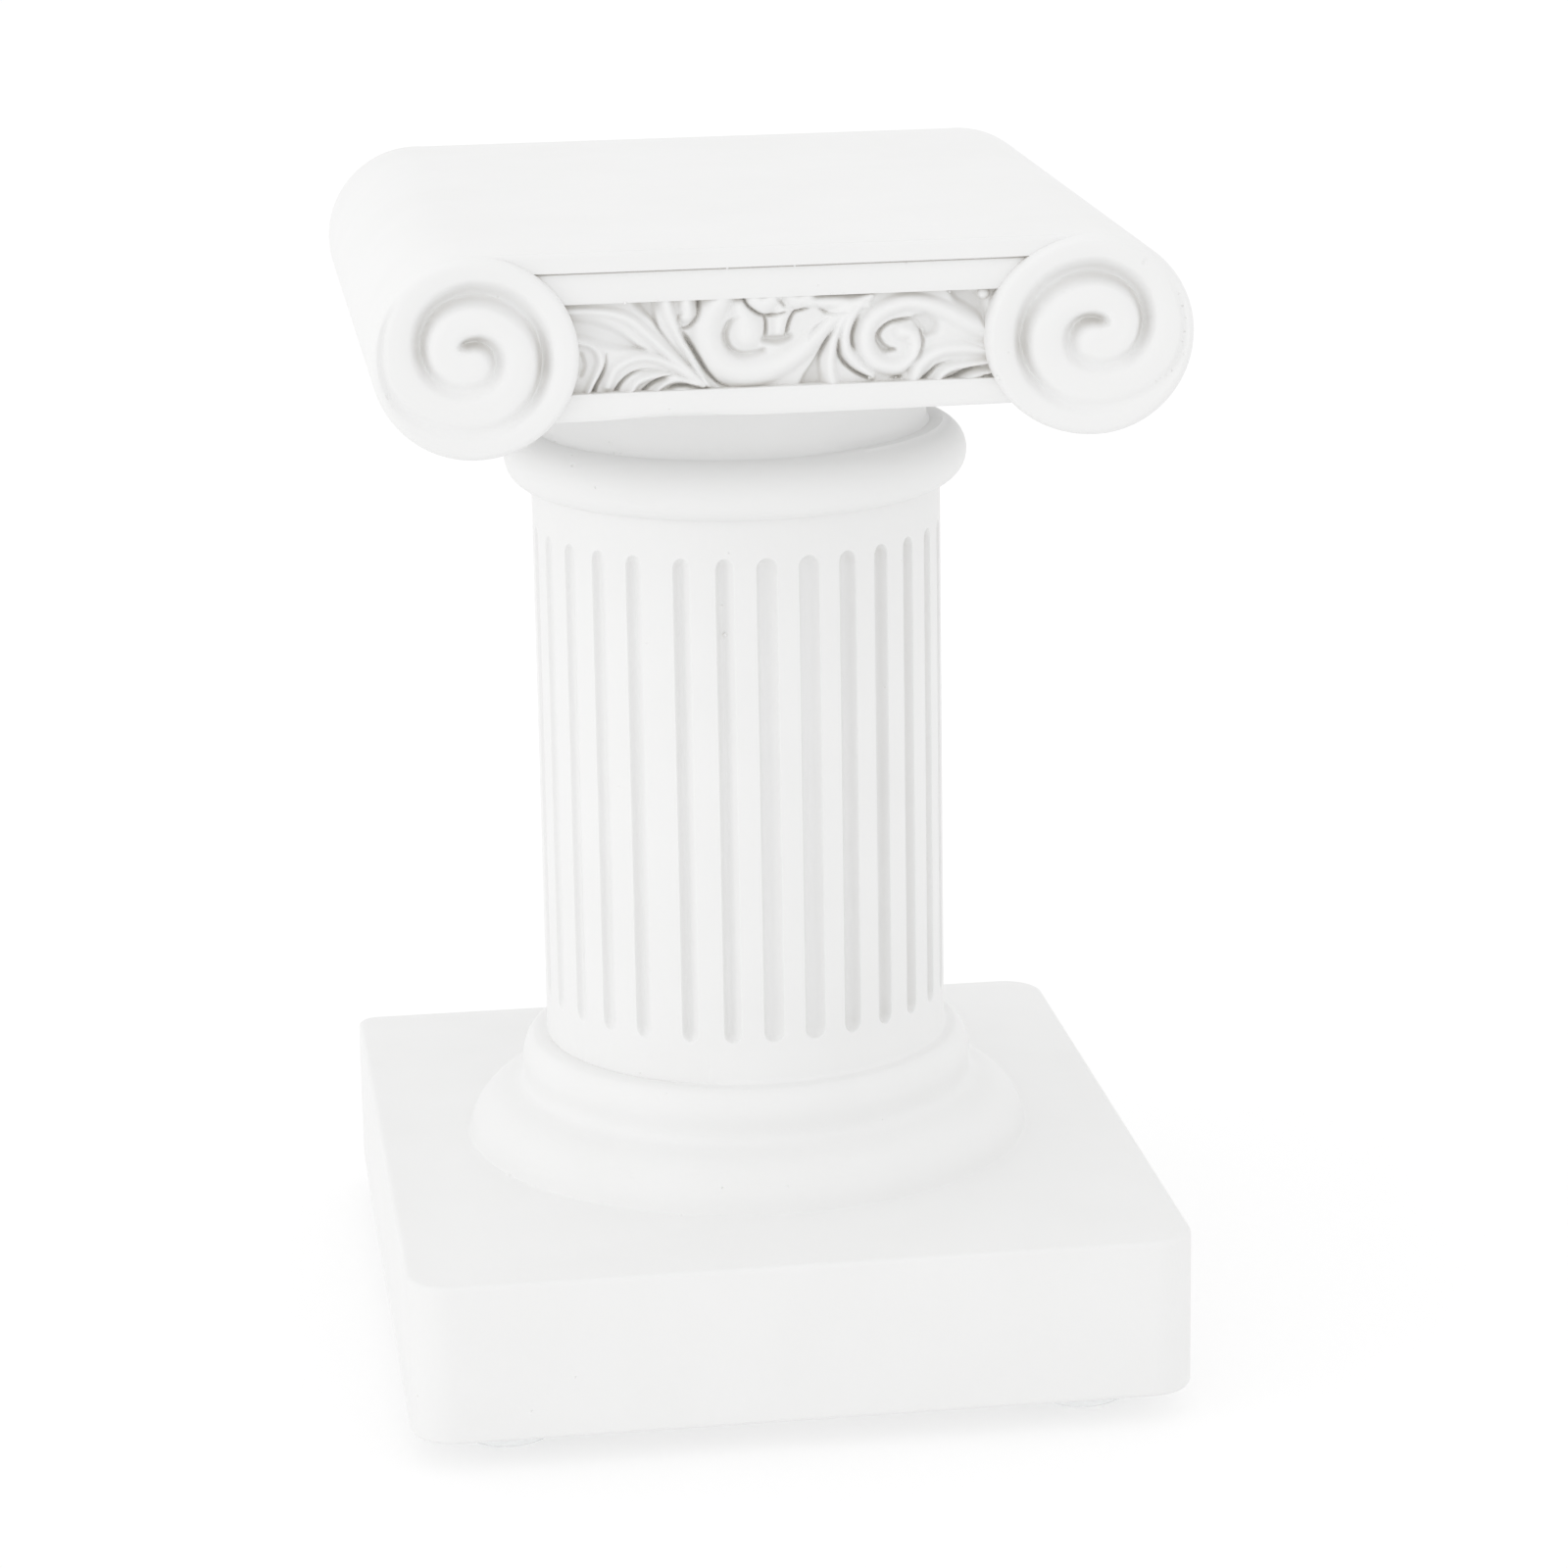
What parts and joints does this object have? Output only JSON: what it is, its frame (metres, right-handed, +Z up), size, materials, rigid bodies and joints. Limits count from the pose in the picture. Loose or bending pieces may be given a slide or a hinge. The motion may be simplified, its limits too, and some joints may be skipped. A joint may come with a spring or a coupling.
{
  "type": "column ornament",
  "caption": "Small white Ionic column ornament cast in one piece, with a square plinth, fluted shaft and scroll capital, on clear stick-on pads.",
  "frame": {"origin": "on the surface that the pads stand on, below the middle of the plinth", "axes": "+Z up along the shaft, -Y towards the carved front with its acanthus frieze, +X to the right seen from the front"},
  "size_m": [0.08, 0.089, 0.1216],
  "materials": {
    "cast": "matte white cast plaster or filled resin",
    "pads": "clear soft adhesive bumper, glossy"
  },
  "bodies": {
    "root": {"column_casting": "cast", "foot_pad_front_left": "pads", "foot_pad_front_right": "pads", "foot_pad_back_left": "pads", "foot_pad_back_right": "pads"}
  },
  "joints": []
}
